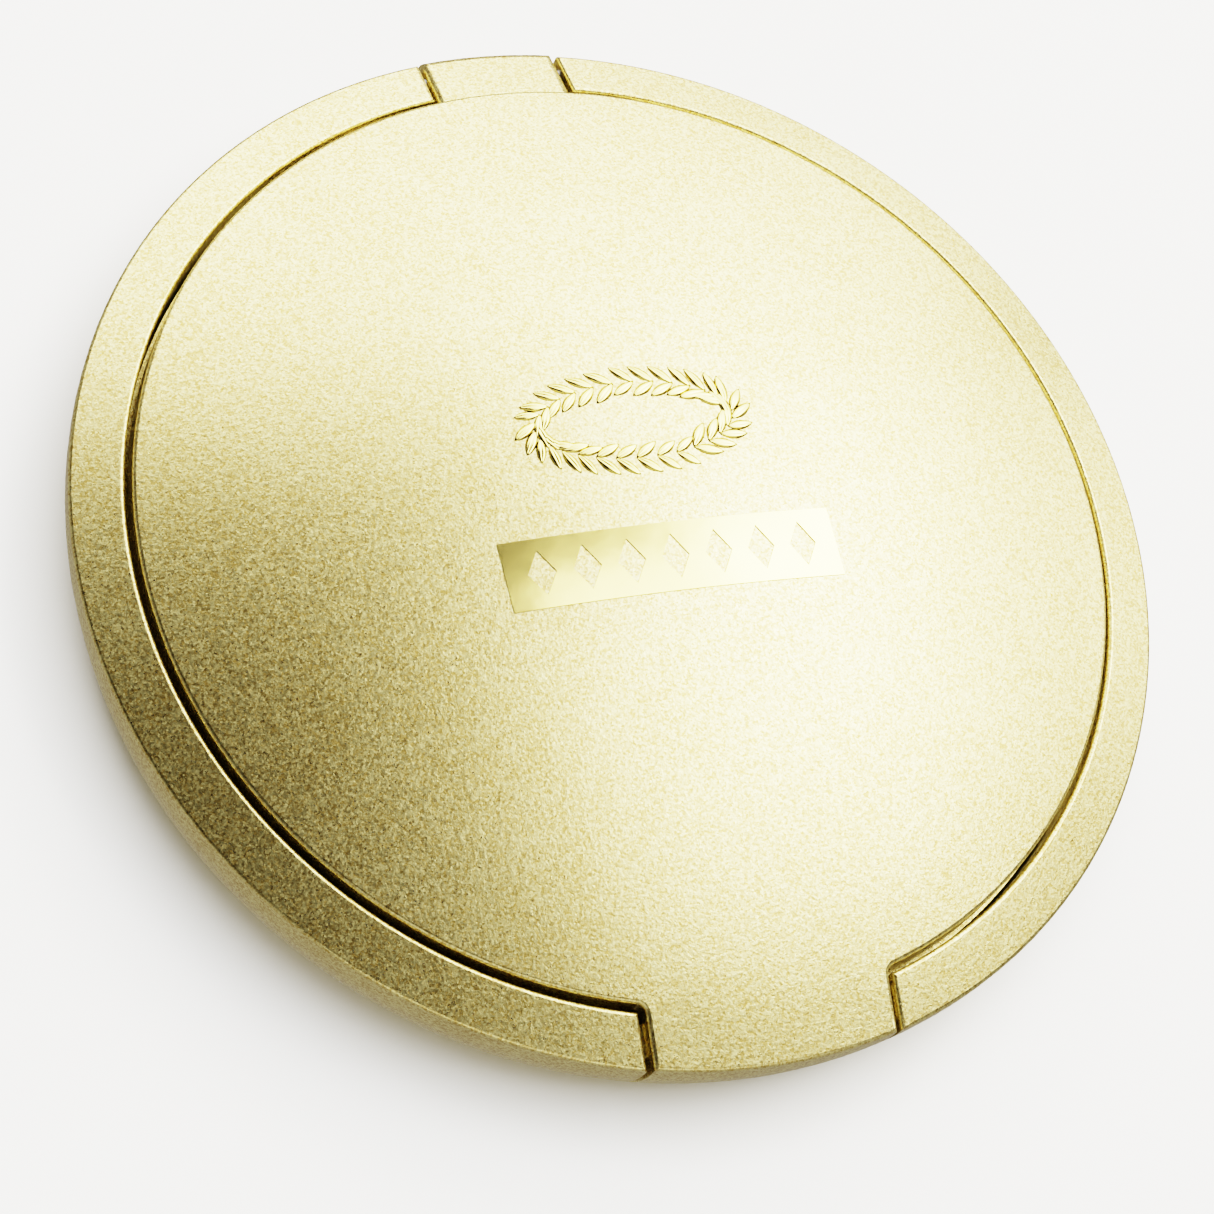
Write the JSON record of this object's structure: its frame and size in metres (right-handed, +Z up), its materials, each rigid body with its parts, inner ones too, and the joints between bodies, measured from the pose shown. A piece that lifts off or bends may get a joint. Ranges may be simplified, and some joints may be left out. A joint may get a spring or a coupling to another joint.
{
  "type": "powder compact",
  "caption": "Round powder compact with a domed hinged lid sunk in the rim of a bowl-shaped base, a thumb tab, a mirror and a pressed powder pan.",
  "frame": {"origin": "centre of the flat foot that the closed compact rests on", "axes": "+Z up out of the closed lid, +Y towards the hinge, -Y towards the thumb tab"},
  "size_m": [0.1, 0.1003, 0.0201],
  "materials": {
    "gold_lacquer": "satin metallic champagne lacquer over ABS",
    "label": "plain matt film label",
    "glue": "translucent hot-melt",
    "pan_metal": "drawn, plain",
    "pressed_powder": "matt pressed powder",
    "pin_steel": "ground",
    "acetal": "natural acetal",
    "mirror_glass": "silvered glass",
    "tape": "foam tape",
    "foil": "polished hot-stamped foil"
  },
  "bodies": {
    "base": {"base_shell": "gold_lacquer", "base_label": "label", "base_deck": "gold_lacquer", "pan_glue": "glue", "powder_pan": "pan_metal", "powder_cake": "pressed_powder", "hinge_pins": "pin_steel", "catch_plate": "acetal"},
    "lid": {"lid_cover": "gold_lacquer", "lid_frame": "gold_lacquer", "mirror": "mirror_glass", "mirror_tape": "tape", "latch_hook": "acetal", "foil_plaque": "foil", "foil_spray": "foil"}
  },
  "joints": [
    {"name": "lid_hinge", "type": "hinge", "parent": "base", "child": "lid", "pos_m": [0, 0.0478, 0.0106], "axis": [-1, 0, 0], "range_deg": [0, 180]}
  ]
}
